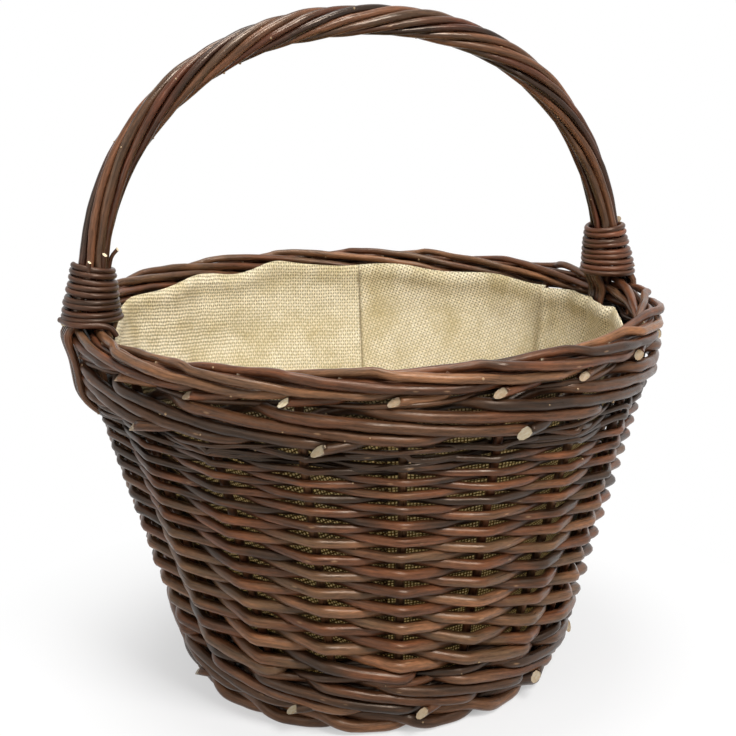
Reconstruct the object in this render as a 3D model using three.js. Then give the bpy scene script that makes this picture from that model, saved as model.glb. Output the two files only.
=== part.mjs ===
import * as THREE from 'three';

// Round willow basket with a fixed hoop handle and a hessian lining.
// Millimetres, +Z up. The ground is z = 0, the basket's axis is Z, and the handle stands in the XZ plane.

// Body
const BODY_HEIGHT = 258; // ground to the top of the border
const FLOOR_RADIUS = 117.5; // circle of the stakes, carried down to the ground
const RIM_RADIUS = 190; // circle of the stakes at the border
const SHOULDER_DROP = 46; // from the top of the border down to where the wall turns upright
const SHOULDER_INSET = 8; // circle of the stakes there, inside the one at the rim
const CLEARANCE = 0.4; // between neighbouring rods

// Radii of the rods
const STAKE_R = 2.9;
const STAKE_TIP_R = 2.2; // a stake at its cut end in the border
const UPSETT_R = 3.7;
const TOP_WALE_R = 3.6;
const BUTT_R = 3.7; // a rand rod at its thick end
const TIP_R = 1.6; // a rand rod at its thin end
const FOOT_R = 4.4;
const STICK_R = 3.5;
const STRAND_R = 2.4;
const LEG_R = 2; // a strand of the handle at its thin ends
const LASHING_R = 1.6;

// Weave
const WALE_RODS = 4;
const WALE_REPEATS = 5;
const STAKES = WALE_RODS * WALE_REPEATS;
const STAKE_PHASE = THREE.MathUtils.degToRad(4.5); // first stake, from the handle's foot
const RAND_RODS = STAKES / 2; // each is doubled round a stake, so that one half starts at every stake
const CROSSING_SLANT = 1.09; // a rod that crosses a stake aslant stands off this much more

// Lay of a wale rod, behind one stake and rising in front of the next three: stakes along, then out in
// stand-offs from the stakes, then up in rod spacings.
const WALE_LAY = [
  [0, -1, 0],
  [0.5, -0.5, -1.25],
  [1, 1, -1],
  [2, 1, 0],
  [3, 1, 1],
  [3.5, -0.5, 1.25],
];

// Bend of a rand rod round its first stake, from inside the wall to outside: stakes along, then out in
// stand-offs. It lies this many rows up.
const BEND = [
  [0, -1],
  [-0.15, -0.55],
  [-0.15, 0.55],
  [0, 1],
];
const BEND_ROW = 0.45;

// Lay of a border rod, from where it bends over: out and up in front of the next stakes, over the top, down
// inside, and out again to its cut end. Stakes along, then out and up in rod spacings.
const BORDER_LAY = [
  [0, 0, -1.1],
  [0.25, 0.5, -0.92],
  [0.5, 1, -0.78],
  [1, 1.2, -0.28],
  [1.5, 1.2, 0.28],
  [2, 0.85, 0.87],
  [2.25, 0.3, 1.1],
  [2.5, -0.35, 1.06],
  [3, -1, 0.69],
  [3.5, -1.1, 0.18],
  [4, -1.1, -0.32],
  [4.5, -0.6, -1],
  [4.65, 0.2, -1.38],
  [5.1, 1.2, -1.47],
];

// Foot and base
const FOOT_OUT = 1; // middle of the foot rope, outside the stakes
const FOOT_TWISTS = 5;
const STEPS_PER_TWIST = 8;
const FOOT_CUT = 0.5; // depth of the flats that the basket stands on
const TAIL_LENGTH = 30; // the part of a stake that lies under the base
const STICK_END_INSET = 10; // from the stakes to the end of a base stick
const STICK_CROSSING = 14; // from the middle of the base to where the lower sticks fan out
const BASE_WEAVE_HOLE = 27;
const BASE_WEAVE_INSET = 1.5; // from the innermost rod of the wall

// Lining
const CLOTH = 1.2;
const LINING_DROP = 8; // from the top of the border to the hem
const SEAM_ANGLE = THREE.MathUtils.degToRad(70);
const FOLDS_PER_PANEL = 5;
const FOLD_DEPTH = 3;
const STEPS_PER_FOLD = 5;
const PANEL_STEPS = FOLDS_PER_PANEL * STEPS_PER_FOLD;

// Handle
const HANDLE_RISE = 183; // from the top of the border to the middle of the handle at its highest
const HANDLE_INSET = 6; // middle of a handle foot, inside the circle of the stakes
const HANDLE_SQUARENESS = 2.2; // 2 makes the arch an ellipse, more makes it squarer
const STRANDS = 8;
const STRAND_TURNS = 2;
const TWIST_EASE = 0.6; // the strands wind this share slower at the feet, and faster at the top
const STEPS_PER_TURN = 16;
const STRAND_SLANT = 1.05; // a slanting strand takes up this much more of the bundle's girth
const FOOT_SPREAD = 12; // from the middle of a handle foot to the strands astride the border
const OUTER_LEG_END = 52; // depth of the outer strands' ends, below the top of the border
const INNER_LEG_END = 32;
const LASHING_TURNS = 9;
const LASHING_START = 3; // above the top of the border
const LASHING_PITCH = 3.9;
const LASHING_EASE = 0.5; // room for the strands where they run straight inside the arch's curve
const STEPS_PER_LOOP = 12;
const LEAST_SELF_GAP = 0.4;

const ROD_SIDES = 5;
const STAKE_STEP = (2 * Math.PI) / STAKES;

// Foot rope: two strands twisted round each other, standing on the flats of their lowest facets.
const footTwistR = FOOT_R + CLEARANCE / 2;
const footSwing = footTwistR * Math.cos(Math.PI / STEPS_PER_TWIST);
const footMid = footSwing + facetDepth(FOOT_R) - FOOT_CUT;
const footTop = footMid + footSwing + FOOT_R;

// Heights of the base and the upsett wale, from the foot up.
const baseLevel = footTop + CLEARANCE + facetDepth(STAKE_R);
const stickLevel = footTop + CLEARANCE + facetDepth(STICK_R);
const baseWeaveBottom = stickLevel + Math.max(STICK_R, STAKE_R) + CLEARANCE;
const upperStickLevel = stickLevel + rodSpacing(STICK_R);
const baseWeaveTop = upperStickLevel + STICK_R;
const liningBottom = baseWeaveTop + CLEARANCE;
const hem = BODY_HEIGHT - LINING_DROP;
const upsettMid = footTop + CLEARANCE + waleHalfHeight(UPSETT_R);

// Heights of the border and the top wale, from the top down.
const borderSpacing = rodSpacing(STAKE_R);
const borderOut = borderSpacing * Math.max(...BORDER_LAY.map(([, out]) => out)) + STAKE_R;
const borderIn = borderSpacing * Math.max(...BORDER_LAY.map(([, out]) => -out)) + STAKE_R;
const borderBend = BODY_HEIGHT - STAKE_R - borderSpacing * Math.max(...BORDER_LAY.map(([, , up]) => up));
const borderDepths = BORDER_LAY.map(([along, , up]) => layRadius(along) - borderSpacing * up);
const borderBottom = borderBend - Math.max(...borderDepths);
const topWaleMid = borderBottom - CLEARANCE - waleHalfHeight(TOP_WALE_R);
const shoulderHeight = BODY_HEIGHT - SHOULDER_DROP;
const shoulderRadius = RIM_RADIUS - SHOULDER_INSET;
const wallLean = Math.hypot(1, (shoulderRadius - FLOOR_RADIUS) / shoulderHeight);

// The rand fills the wall between the two wales, in rows that close up as its rods get thinner.
const randBottom = upsettMid + waleHalfHeight(UPSETT_R) + CLEARANCE;
const randTop = topWaleMid - waleHalfHeight(TOP_WALE_R) - CLEARANCE;
const meanRow = BUTT_R + TIP_R + CLEARANCE;
const rows = 2 * Math.floor((randTop - randBottom) / meanRow / 2 - 0.5) + 1; // odd, so that tips end inside
const rowStretch = (randTop - randBottom) / (rows * meanRow);

// Handle: strands wound round a bow, lashed above the border, with their legs astride it.
const footReach = RIM_RADIUS - HANDLE_INSET;
const bundleR = (2 * STRAND_R * STRAND_SLANT + CLEARANCE) / (2 * Math.sin(Math.PI / STRANDS));
const widestStep = (2 * Math.PI * (1 + TWIST_EASE)) / STEPS_PER_TURN;
const bowR = bundleR * Math.cos(widestStep / 2) - STRAND_R - CLEARANCE;
const outerLeg = borderOut + CLEARANCE + LEG_R;
const innerLeg = borderIn + CLEARANCE + LEG_R;
const lashingEnd = LASHING_START + LASHING_TURNS * LASHING_PITCH;
const bundleStart = lashingEnd + 2 * LASHING_R;
const liningOut = innerLeg + LEG_R + CLEARANCE;

// From the middle of a rod to the flat of its lowest facet.
function facetDepth(radius) {
  return radius * Math.cos(Math.PI / ROD_SIDES);
}

// Radius of a border rod, which gets thinner over its last stake.
function layRadius(along) {
  const end = BORDER_LAY.at(-1)[0];
  const thinning = THREE.MathUtils.clamp(along - end + 1, 0, 1);
  return THREE.MathUtils.lerp(STAKE_R, STAKE_TIP_R, thinning);
}

function rodSpacing(radius) {
  return 2 * radius + CLEARANCE;
}

function waleHalfHeight(radius) {
  return rodSpacing(radius) * Math.max(...WALE_LAY.map(([, , up]) => up)) + radius;
}

// Radius of the circle of stakes at a height: a cone up to the shoulder, then nearly upright.
function stakeCircle(z) {
  if (z < shoulderHeight) {
    return THREE.MathUtils.lerp(FLOOR_RADIUS, shoulderRadius, z / shoulderHeight);
  }
  return THREE.MathUtils.lerp(shoulderRadius, RIM_RADIUS, (z - shoulderHeight) / SHOULDER_DROP);
}

function polar(radius, angle, z) {
  return new THREE.Vector3(radius * Math.cos(angle), radius * Math.sin(angle), z);
}

// A point on the wall. Stakes count clockwise as seen from above, the way the weave is worked.
function onWall(stake, out, z) {
  return polar(stakeCircle(z) + out, STAKE_PHASE - stake * STAKE_STEP, z);
}

// How far the middle of a rod stands off the middle of the stakes that it passes.
function standOff(radius) {
  return (STAKE_R + radius + CLEARANCE) * wallLean * CROSSING_SLANT;
}

// A closed solid through equal rings of points. A row of rings that isn't a loop is capped.
function loft(rings, loop) {
  const size = rings[0].length;
  const index = [];
  const quads = loop ? rings.length : rings.length - 1;
  for (let ring = 0; ring < quads; ring += 1) {
    const near = ring * size;
    const far = ((ring + 1) % rings.length) * size;
    for (let corner = 0; corner < size; corner += 1) {
      const next = (corner + 1) % size;
      index.push(near + corner, near + next, far + next);
      index.push(near + corner, far + next, far + corner);
    }
  }
  if (!loop) {
    const last = (rings.length - 1) * size;
    for (let low = 0, high = size - 1; high - low > 1; low += 1, high -= 1) {
      index.push(high, low + 1, low);
      index.push(last + low, last + low + 1, last + high);
      if (high - low > 2) {
        index.push(high, high - 1, low + 1);
        index.push(last + low + 1, last + high - 1, last + high);
      }
    }
  }
  const geometry = new THREE.BufferGeometry().setFromPoints(rings.flat());
  geometry.setIndex(index);
  geometry.computeVertexNormals();
  return geometry;
}

// Rings of a rod through its points. The radius is a function of the point's number.
function rodRings(points, radiusAt, loop) {
  const side = new THREE.Vector3();
  return points.map((point, i) => {
    const before = points.at(loop ? i - 1 : Math.max(i - 1, 0));
    const after = points[loop ? (i + 1) % points.length : Math.min(i + 1, points.length - 1)];
    const arriving = point.clone().sub(before).normalize();
    const tangent = after.clone().sub(point).normalize().add(arriving).normalize();
    if (i === 0) {
      const upright = Math.abs(tangent.z) > Math.SQRT1_2;
      side.set(0, upright ? 1 : 0, upright ? 0 : 1);
    }
    side.addScaledVector(tangent, -side.dot(tangent)).normalize();
    const other = tangent.clone().cross(side);
    return Array.from({ length: ROD_SIDES }, (_, corner) => {
      const angle = (2 * Math.PI * corner) / ROD_SIDES;
      return point.clone()
        .addScaledVector(side, radiusAt(i) * Math.cos(angle))
        .addScaledVector(other, radiusAt(i) * Math.sin(angle));
    });
  });
}

function rod(points, radius, loop = false) {
  return loft(rodRings(points, () => radius, loop), loop);
}

function bark(color) {
  return new THREE.MeshStandardMaterial({ color, roughness: 0.7, metalness: 0 });
}

function hessian() {
  return new THREE.MeshStandardMaterial({ color: 0xcebc96, roughness: 0.95, metalness: 0 });
}

function numbered(name, i) {
  return `${name}_${String(i + 1).padStart(2, '0')}`;
}

const basket = new THREE.Group();

function addPiece(name, geometry, material) {
  const mesh = new THREE.Mesh(geometry, material);
  mesh.name = name;
  basket.add(mesh);
}

// Foot
function footStrand(strand) {
  const steps = FOOT_TWISTS * STEPS_PER_TWIST;
  const points = Array.from({ length: steps }, (_, i) => {
    const twist = (2 * Math.PI * (i + 0.5)) / STEPS_PER_TWIST + strand * Math.PI;
    const radius = stakeCircle(footMid) + FOOT_OUT + footTwistR * Math.sin(twist);
    return polar(radius, (-2 * Math.PI * i) / steps, footMid - footTwistR * Math.cos(twist));
  });
  const rings = rodRings(points, () => FOOT_R, true);
  rings.flat().forEach((corner) => {
    corner.z = Math.max(corner.z, 0);
  });
  return loft(rings, true);
}

for (let strand = 0; strand < 2; strand += 1) {
  addPiece(`foot_rope_${strand + 1}`, footStrand(strand), bark(0x5c493d));
}

// Base: three sticks crossed by two, opened out like spokes, with the base weave on top of them.
const stickReach = stakeCircle(stickLevel) - STICK_END_INSET;
const stickSpacing = rodSpacing(STICK_R);
const spokeStep = 2 * STAKE_STEP;
const base = new THREE.Group();
base.rotation.z = STAKE_PHASE + STAKE_STEP / 2;
basket.add(base);

function addStick(number, points) {
  const mesh = new THREE.Mesh(rod(points, STICK_R), bark(0x6b5443));
  mesh.name = `base_stick_${number}`;
  base.add(mesh);
}

for (let i = -1; i <= 1; i += 1) {
  const end = polar(stickReach, i * spokeStep, stickLevel);
  addStick(i + 2, [
    new THREE.Vector3(-end.x, end.y, stickLevel),
    new THREE.Vector3(-STICK_CROSSING, i * stickSpacing, stickLevel),
    new THREE.Vector3(STICK_CROSSING, i * stickSpacing, stickLevel),
    end,
  ]);
}

const bridgeHalf = 1.5 * stickSpacing;
const bridgeFoot = bridgeHalf + 1.5 * stickSpacing;
for (const half of [-0.5, 0.5]) {
  const end = polar(stickReach, Math.PI / 2 - half * spokeStep, stickLevel);
  const x = half * stickSpacing;
  addStick(half + 4.5, [
    new THREE.Vector3(end.x, -end.y, stickLevel),
    new THREE.Vector3(x, -bridgeFoot, stickLevel),
    new THREE.Vector3(x, -bridgeHalf, upperStickLevel),
    new THREE.Vector3(x, bridgeHalf, upperStickLevel),
    new THREE.Vector3(x, bridgeFoot, stickLevel),
    end,
  ]);
}

const wallInside = standOff(UPSETT_R) + UPSETT_R;
const baseWeaveRadius = stakeCircle(baseWeaveBottom) - wallInside - BASE_WEAVE_INSET;
const baseWeave = new THREE.LatheGeometry([
  new THREE.Vector2(BASE_WEAVE_HOLE, baseWeaveBottom),
  new THREE.Vector2(baseWeaveRadius, baseWeaveBottom),
  new THREE.Vector2(baseWeaveRadius, baseWeaveTop),
  new THREE.Vector2(BASE_WEAVE_HOLE, baseWeaveTop),
  new THREE.Vector2(BASE_WEAVE_HOLE, baseWeaveBottom),
], 1.5 * STAKES);
addPiece('base_weave', baseWeave.rotateX(Math.PI / 2), bark(0x6b5443));

// Stakes: each lies under the base, turns up through the wall and ends as a rod of the border.
function stakeRod(stake) {
  const bendEnd = baseLevel + 2 * STAKE_R;
  const points = [
    onWall(stake, -TAIL_LENGTH, baseLevel),
    onWall(stake, -STAKE_R, baseLevel),
    onWall(stake, 0, bendEnd),
    onWall(stake, 0, shoulderHeight),
  ];
  const radii = points.map(() => STAKE_R);
  BORDER_LAY.forEach(([along, out, up]) => {
    points.push(onWall(stake + along, out * borderSpacing, borderBend + up * borderSpacing));
    radii.push(layRadius(along));
  });
  return loft(rodRings(points, (i) => radii[i], false), false);
}

for (let stake = 0; stake < STAKES; stake += 1) {
  addPiece(numbered('stake', stake), stakeRod(stake), bark(0x59432f));
}

// Wales: each rod goes behind one stake and in front of the next three, from the bottom row up.
function waleRod(first, radius, mid) {
  const points = [];
  for (let stake = first; stake < first + STAKES; stake += WALE_RODS) {
    WALE_LAY.forEach(([along, out, up]) => {
      points.push(onWall(stake + along, out * standOff(radius), mid + up * rodSpacing(radius)));
    });
  }
  return rod(points, radius, true);
}

for (let i = 0; i < WALE_RODS; i += 1) {
  addPiece(`upsett_wale_${i + 1}`, waleRod(i, UPSETT_R, upsettMid), bark(0x5f4a3a));
}
for (let i = 0; i < WALE_RODS; i += 1) {
  addPiece(`top_wale_${i + 1}`, waleRod(i, TOP_WALE_R, topWaleMid), bark(0x58412f));
}

// Rand: slanting rods, each in front of one stake and behind the next, a row higher at every stake. Each
// is doubled round a stake at the bottom, and both halves run up to a thin tip inside the wall.
function rowRadius(row) {
  return THREE.MathUtils.lerp(BUTT_R, TIP_R, row / rows);
}

function rowHeight(row) {
  const diameters = 2 * BUTT_R * row + ((TIP_R - BUTT_R) * row * row) / rows;
  return randBottom + rowStretch * (diameters + CLEARANCE * row);
}

function randPoint(stake, side, row) {
  return { point: onWall(stake, side * standOff(rowRadius(row)), rowHeight(row)), radius: rowRadius(row) };
}

function randHalf(firstStake, firstStep) {
  const half = [];
  for (let step = firstStep; step < rows; step += 1) {
    half.push(randPoint(firstStake + step, step % 2 === 0 ? -1 : 1, step + 0.5));
  }
  return half;
}

function randRod(number) {
  const stake = 2 * number;
  const lead = randHalf(stake + 1, 0).reverse();
  const bend = BEND.map(([along, side]) => randPoint(stake + along, side, BEND_ROW));
  const course = [...lead, ...bend, ...randHalf(stake, 1)];
  const points = course.map(({ point }) => point);
  return loft(rodRings(points, (i) => course[i].radius, false), false);
}

for (let i = 0; i < RAND_RODS; i += 1) {
  addPiece(numbered('rand_rod', i), randRod(i), bark(0x584130));
}

// Lining: two panels of cloth sewn at two seams, hanging in soft folds, and a round floor.
function liningPanel(seam) {
  const heights = [liningBottom, (liningBottom + shoulderHeight) / 2, shoulderHeight, hem];
  const seamGap = CLEARANCE / RIM_RADIUS;
  const rings = [];
  for (let step = 0; step <= PANEL_STEPS; step += 1) {
    const angle = seam + THREE.MathUtils.lerp(seamGap, Math.PI - seamGap, step / PANEL_STEPS);
    const fold = (FOLD_DEPTH * (1 - Math.cos((2 * Math.PI * step) / STEPS_PER_FOLD))) / 2;
    const inner = [];
    const outer = [];
    heights.forEach((z) => {
      const drape = (z - liningBottom) / (hem - liningBottom);
      const radius = stakeCircle(z) - liningOut - fold * drape;
      inner.push(polar(radius - CLOTH, angle, z));
      outer.unshift(polar(radius, angle, z));
    });
    rings.push([...inner, ...outer]);
  }
  return loft(rings, false);
}

addPiece('lining_left', liningPanel(SEAM_ANGLE), hessian());
addPiece('lining_right', liningPanel(SEAM_ANGLE + Math.PI), hessian());

const panelCorner = stakeCircle(liningBottom) - liningOut - CLOTH;
const floorRadius = panelCorner * Math.cos(Math.PI / (2 * PANEL_STEPS)) - CLEARANCE;
const liningFloor = new THREE.CylinderGeometry(floorRadius, floorRadius, CLOTH, 2 * PANEL_STEPS);
liningFloor.rotateX(Math.PI / 2).translate(0, 0, liningBottom + CLOTH / 2);
addPiece('lining_floor', liningFloor, hessian());

// Handle. The arch runs from 0 at the left foot to pi at the right one.
function archPoint(along) {
  const power = 2 / HANDLE_SQUARENESS;
  const x = -footReach * Math.sign(Math.cos(along)) * Math.abs(Math.cos(along)) ** power;
  return new THREE.Vector3(x, 0, BODY_HEIGHT + HANDLE_RISE * Math.sin(along) ** power);
}

function archAtHeight(aboveBorder) {
  return Math.asin((aboveBorder / HANDLE_RISE) ** (HANDLE_SQUARENESS / 2));
}

// A point beside the arch, at an angle round it from its outer side.
function besideArch(along, radius, angle) {
  const nudge = 1e-4;
  const tangent = archPoint(along + nudge).sub(archPoint(along - nudge)).normalize();
  const outward = new THREE.Vector3(-tangent.z, 0, tangent.x);
  return archPoint(along)
    .addScaledVector(outward, radius * Math.cos(angle))
    .add(new THREE.Vector3(0, radius * Math.sin(angle), 0));
}

function bow() {
  const start = archAtHeight(LASHING_START - CLEARANCE);
  const steps = STRAND_TURNS * STEPS_PER_TURN;
  const points = Array.from({ length: steps + 1 }, (_, i) => (
    archPoint(THREE.MathUtils.lerp(start, Math.PI - start, i / steps))
  ));
  return rod(points, bowR);
}

addPiece('handle_bow', bow(), bark(0x6b5041));

// The legs of a strand run from under the lashing, astride the border, down to their ends.
const legSpacing = Math.cos(Math.PI / STRANDS) - Math.cos((3 * Math.PI) / STRANDS);
const legSpread = rodSpacing(LEG_R) / legSpacing;

// How far a leg stands off the stakes where it passes a rod of the wall.
function legPast(radius) {
  return standOff(radius) + radius + CLEARANCE + LEG_R;
}

function strandLeg(slot) {
  const lateral = legSpread * Math.sin(slot);
  const lowWaleZ = topWaleMid - rodSpacing(TOP_WALE_R);
  const tuckZ = BODY_HEIGHT - OUTER_LEG_END;
  const outer = [
    [footReach + FOOT_SPREAD, BODY_HEIGHT + STRAND_R],
    [RIM_RADIUS + outerLeg, BODY_HEIGHT - STAKE_R],
    [stakeCircle(lowWaleZ) + legPast(TOP_WALE_R), lowWaleZ],
    [stakeCircle(tuckZ) + legPast(TIP_R), tuckZ],
  ];
  const inner = [
    [footReach - FOOT_SPREAD, BODY_HEIGHT + STRAND_R],
    [stakeCircle(hem) - innerLeg, hem],
    [stakeCircle(BODY_HEIGHT - INNER_LEG_END) - innerLeg, BODY_HEIGHT - INNER_LEG_END],
  ];
  const leg = Math.cos(slot) > 0 ? outer : inner;
  return leg.map(([reach, z]) => new THREE.Vector3(reach, lateral, z));
}

// How far a strand has wound round the bow, at a share of the way along it.
function twistAt(share) {
  const turn = 2 * Math.PI;
  return STRAND_TURNS * (turn * share - TWIST_EASE * Math.sin(turn * share));
}

function strandRod(strand) {
  const slot = (2 * Math.PI * (strand + 0.5)) / STRANDS;
  const start = archAtHeight(bundleStart);
  const steps = STRAND_TURNS * STEPS_PER_TURN;
  const bundle = Array.from({ length: steps + 1 }, (_, i) => (
    besideArch(
      THREE.MathUtils.lerp(start, Math.PI - start, i / steps),
      bundleR,
      slot + twistAt(i / steps),
    )
  ));
  const right = strandLeg(slot);
  const left = strandLeg(slot).reverse();
  left.forEach((point) => {
    point.x = -point.x;
  });
  const points = [...left, ...bundle, ...right];
  return loft(rodRings(points, (i) => (bundle.includes(points[i]) ? STRAND_R : LEG_R), false), false);
}

for (let strand = 0; strand < STRANDS; strand += 1) {
  addPiece(`handle_strand_${strand + 1}`, strandRod(strand), bark(0x775c4e));
}

// Lashing: one thin rod wound round the strands above the border, wider where the strands spread.
const strandCorner = Math.hypot(FOOT_SPREAD, legSpread * Math.cos(Math.PI / STRANDS));
const lashingOff = STRAND_R + LASHING_EASE + LASHING_R;

function lashingPoints() {
  const steps = LASHING_TURNS * STEPS_PER_LOOP;
  return Array.from({ length: steps + 1 }, (_, i) => {
    const height = LASHING_START + (LASHING_PITCH * i) / STEPS_PER_LOOP;
    const strands = THREE.MathUtils.mapLinear(height, 0, bundleStart, strandCorner, bundleR);
    const radius = (strands + lashingOff) / Math.cos(Math.PI / STEPS_PER_LOOP);
    return besideArch(archAtHeight(height), radius, (2 * Math.PI * i) / STEPS_PER_LOOP);
  });
}

function leastSelfGap(points, radius) {
  let least = Infinity;
  for (let i = 0; i < points.length; i += 1) {
    for (let j = i + STEPS_PER_LOOP / 2; j < points.length; j += 1) {
      least = Math.min(least, points[i].distanceTo(points[j]) - 2 * radius);
    }
  }
  return least;
}

const lashing = lashingPoints();
const selfGap = leastSelfGap(lashing, LASHING_R);
console.log(`least gap between the turns of a lashing: ${selfGap.toFixed(2)} mm`);
if (selfGap < LEAST_SELF_GAP) {
  console.log('the turns of a lashing lie too close');
}

addPiece('lashing_left', rod(lashing, LASHING_R), bark(0x6e5547));
const rightLashing = rod(lashing.map((point) => new THREE.Vector3(-point.x, -point.y, point.z)), LASHING_R);
addPiece('lashing_right', rightLashing, bark(0x6e5547));

export default basket;
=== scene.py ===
import math
from collections import namedtuple

import bpy
import numpy as np
from mathutils import Matrix, Vector


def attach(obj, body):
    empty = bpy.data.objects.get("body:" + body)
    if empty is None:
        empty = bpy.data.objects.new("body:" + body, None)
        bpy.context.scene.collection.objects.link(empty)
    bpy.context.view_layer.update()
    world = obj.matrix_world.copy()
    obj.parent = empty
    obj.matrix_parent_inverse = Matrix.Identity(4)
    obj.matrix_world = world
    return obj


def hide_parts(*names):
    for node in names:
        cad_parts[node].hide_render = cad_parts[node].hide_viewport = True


# A round basket of unpeeled willow with a roped hoop handle and a hessian lining, put together in the
# order that a maker works. Sizes are in millimetres and turn into metres where a mesh is made.
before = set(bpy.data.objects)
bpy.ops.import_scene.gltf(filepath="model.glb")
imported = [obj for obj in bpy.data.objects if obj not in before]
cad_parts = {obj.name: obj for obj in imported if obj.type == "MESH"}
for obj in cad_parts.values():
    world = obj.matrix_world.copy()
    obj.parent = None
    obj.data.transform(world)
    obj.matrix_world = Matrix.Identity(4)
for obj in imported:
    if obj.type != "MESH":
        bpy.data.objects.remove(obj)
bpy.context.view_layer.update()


# Base sticks: three stout rods crossed by two in the middle of the base, opened out like the spokes of a
# wheel. They keep their bark, and their ends are cut square.
MM = 0.001
STAKES = 20
STAKE_STEP = 2 * math.pi / STAKES
STAKE_PHASE = math.radians(4.5)
STICK_R = 3.5
STICK_LEVEL = 19.2
STICK_RAISED = 26.6
STICK_REACH = 113
STICK_SPACING = 7.4
UNDER_CROSSING = (0, 7, 14)
OVER_CROSSING = [(0, STICK_RAISED), (11, STICK_RAISED), (16, 23), (22, STICK_LEVEL), (30, STICK_LEVEL)]
BUD_R = 1
NOISE_REACH = 0.25
BARK_RELIEF = 0.5
SPECK_SHADE = (176, 140, 104)
BUD_SHADE = (198, 168, 128)
CUT_SHADES = [(0.3, (228, 202, 156)), (0.7, (252, 240, 210))]
WARM_GLEAM = (1, 0.82, 0.67, 1)
BASE_SHADES = [(0.0, (58, 37, 24)), (0.5, (88, 61, 41)), (1.0, (114, 85, 61))]
chance = np.random.default_rng(11)
Rod = namedtuple("Rod", "points radius tone start cut closed")


def add_node(tree, kind, inputs=None, **settings):
    """A node with its settings, each input linked from a socket or set to a value."""
    node = tree.nodes.new(kind)
    for name, value in settings.items():
        setattr(node, name, value)
    for key, value in (inputs or {}).items():
        if isinstance(value, bpy.types.NodeSocket):
            tree.links.new(value, node.inputs[key])
        else:
            node.inputs[key].default_value = value
    return node


def node_result(tree, kind, inputs=None, **settings):
    """The first output of a new node."""
    return add_node(tree, kind, inputs, **settings).outputs[0]


def math_node(tree, operation, *values):
    return node_result(tree, "ShaderNodeMath", dict(enumerate(values)), operation=operation)


def vector_math(tree, operation, first, second=(0, 0, 0), scale=1.0):
    """A sum on vectors. A length or a dot product comes out as a single value."""
    node = add_node(tree, "ShaderNodeVectorMath", {0: first, 1: second, 3: scale}, operation=operation)
    return node.outputs["Value" if operation in ("LENGTH", "DOT_PRODUCT") else "Vector"]


def linear(shade):
    """A colour written as on a screen, 0 to 255, in the renderer's own scale."""
    return [((c / 255 + 0.055) / 1.055) ** 2.4 for c in shade] + [1]


def polar(radius, angle, z):
    return np.array([radius * math.cos(angle), radius * math.sin(angle), z])


def rod(points, radius, tone=None, cut=(0, 0, 0), closed=False):
    """A willow rod through its points. The cut leans its far end's face towards a direction."""
    if tone is None:
        tone = chance.uniform(0, 1)
    count = len(points)
    start = chance.uniform(0, 100)
    radii = np.broadcast_to(radius, count)
    tones = np.broadcast_to(tone, count)
    return Rod(np.array(points), radii, tones, start, cut, closed)


def colour_ramp(tree, factor, stops):
    ramp = add_node(tree, "ShaderNodeValToRGB", {"Fac": factor})
    elements = ramp.color_ramp.elements
    while len(elements) < len(stops):
        elements.new(0.5)
    for element, (place, shade) in zip(elements, stops):
        element.position = place
        element.color = linear(shade)
    return ramp.outputs["Color"]


def mix_colour(tree, factor, first, second, blend="MIX"):
    """Two colours mixed, in the sockets that a colour Mix node keeps them in."""
    inputs = {0: factor, 6: first, 7: second}
    return add_node(tree, "ShaderNodeMix", inputs, data_type="RGBA", blend_type=blend).outputs[2]


def multiplied(tree, colour, shade):
    return mix_colour(tree, 1.0, colour, shade, "MULTIPLY")


def map_range(tree, value, low, high, to_low, to_high):
    inputs = {"Value": value, "From Min": low, "From Max": high, "To Min": to_low, "To Max": to_high}
    return node_result(tree, "ShaderNodeMapRange", inputs)


def noise_at(tree, place, scale, detail):
    """Noise drawn out along a piece's own coordinates."""
    stretched = node_result(tree, "ShaderNodeMapping", {"Vector": place, "Scale": scale})
    inputs = {"Vector": stretched, "Scale": 1, "Detail": detail}
    return add_node(tree, "ShaderNodeTexNoise", inputs).outputs["Fac"]


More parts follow.
